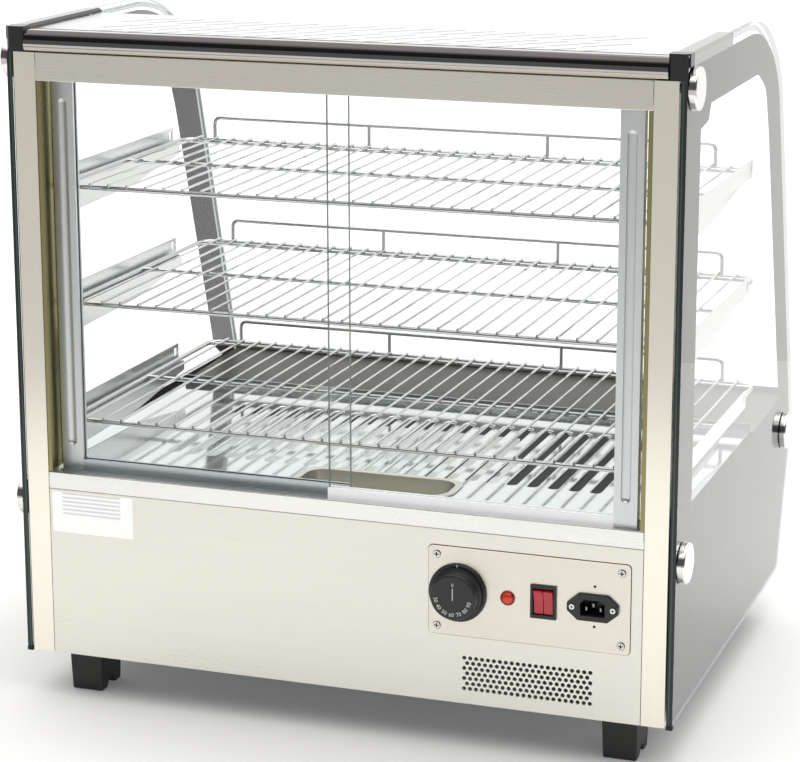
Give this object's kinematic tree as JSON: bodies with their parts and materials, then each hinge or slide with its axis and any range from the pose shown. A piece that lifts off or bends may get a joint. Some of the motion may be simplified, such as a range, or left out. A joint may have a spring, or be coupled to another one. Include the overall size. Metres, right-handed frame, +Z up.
{
  "type": "countertop hot food display case",
  "caption": "Heated countertop display case with a curved customer glass, wire shelves, sliding rear glass doors and a control plate.",
  "frame": {"origin": "on the surface the case stands on, under the middle of its outer box", "axes": "+Z up, -Y the service side with the doors and controls, +Y the curved customer glass, +X to the right of a person at the controls"},
  "size_m": [0.6946, 0.5796, 0.6851],
  "materials": {
    "steel": "brushed, warm grey",
    "polished": "polished",
    "header": "satin, warm beige",
    "jamb_channel": "brass-toned anodised",
    "shelf_wire": "bright plated",
    "door_aluminium": "satin anodised",
    "dark_sheet": "satin dark enamel",
    "clear_glass": "clear toughened",
    "black_glass": "black printed, glossy",
    "black_plastic": "satin black",
    "rubber": "black",
    "red_plastic": "glossy red",
    "pilot_lens": "translucent red-orange",
    "element_sheath": "dull dark sheath",
    "lamp_cover": "milky white"
  },
  "bodies": {
    "cabinet": {"base_pan": "steel", "rear_panel": "steel", "front_panel": "black_glass", "nose_seal": "rubber", "foot_rear_left": "rubber", "foot_rear_right": "rubber", "foot_front_left": "rubber", "foot_front_right": "rubber", "left_post": "steel", "right_post": "steel", "sill_rail": "steel", "header_rail": "header", "lower_track": "door_aluminium", "upper_track": "door_aluminium", "left_jamb": "jamb_channel", "right_jamb": "jamb_channel", "roof_plate": "steel", "rear_trim_bar": "polished", "left_trim_bar": "polished", "right_trim_bar": "polished", "left_corner_cap": "black_plastic", "right_corner_cap": "black_plastic", "left_side_glass": "clear_glass", "right_side_glass": "clear_glass", "front_glass": "clear_glass", "glass_cap_rear_top_left": "polished", "glass_cap_rear_top_right": "polished", "glass_cap_rear_low_left": "polished", "glass_cap_rear_low_right": "polished", "glass_cap_front_left": "polished", "glass_cap_front_right": "polished", "top_bracket_left": "steel", "top_bracket_right": "steel", "middle_bracket_left": "steel", "middle_bracket_right": "steel", "bottom_bracket_left": "steel", "bottom_bracket_right": "steel", "deck": "polished", "front_ledge": "dark_sheet", "heating_element": "element_sheath", "reflector_tray": "polished", "lamp": "lamp_cover", "control_plate": "steel", "thermostat_body": "black_plastic", "thermostat_bezel": "black_plastic", "pilot_lamp": "pilot_lens", "switch_housing": "black_plastic", "power_inlet": "black_plastic"},
    "outer_door": {"outer_door_frame": "door_aluminium", "outer_door_glass": "clear_glass"},
    "inner_door": {"inner_door_frame": "door_aluminium", "inner_door_glass": "clear_glass"},
    "top_shelf": {"top_shelf": "shelf_wire"},
    "middle_shelf": {"middle_shelf": "shelf_wire"},
    "bottom_shelf": {"bottom_shelf": "shelf_wire"},
    "water_tray": {"water_tray": "steel"},
    "thermostat_knob": {"thermostat_knob": "black_plastic"},
    "rocker_heat": {"rocker_heat": "red_plastic"},
    "rocker_light": {"rocker_light": "red_plastic"}
  },
  "joints": [
    {"name": "outer_door_slide", "type": "slide", "parent": "cabinet", "child": "outer_door", "axis": [-1, 0, 0], "range_m": [0, 0.285]},
    {"name": "inner_door_slide", "type": "slide", "parent": "cabinet", "child": "inner_door", "axis": [1, 0, 0], "range_m": [0, 0.285]},
    {"name": "top_shelf_lift", "type": "slide", "parent": "cabinet", "child": "top_shelf", "axis": [0, 0, 1], "range_m": [0, 0.03]},
    {"name": "middle_shelf_lift", "type": "slide", "parent": "cabinet", "child": "middle_shelf", "axis": [0, 0, 1], "range_m": [0, 0.03]},
    {"name": "bottom_shelf_lift", "type": "slide", "parent": "cabinet", "child": "bottom_shelf", "axis": [0, 0, 1], "range_m": [0, 0.03]},
    {"name": "water_tray_lift", "type": "slide", "parent": "cabinet", "child": "water_tray", "axis": [0, 0, 1], "range_m": [0, 0.025]},
    {"name": "thermostat_turn", "type": "hinge", "parent": "cabinet", "child": "thermostat_knob", "pos_m": [0.1263, -0.28083, 0.159], "axis": [0, 1, 0], "range_deg": [0, 280]},
    {"name": "rocker_heat_tilt", "type": "hinge", "parent": "cabinet", "child": "rocker_heat", "pos_m": [0.207, -0.26783, 0.1592], "axis": [-1, 0, 0], "range_deg": [0, 20]},
    {"name": "rocker_light_tilt", "type": "hinge", "parent": "cabinet", "child": "rocker_light", "pos_m": [0.2168, -0.26783, 0.1592], "axis": [-1, 0, 0], "range_deg": [0, 20]}
  ]
}
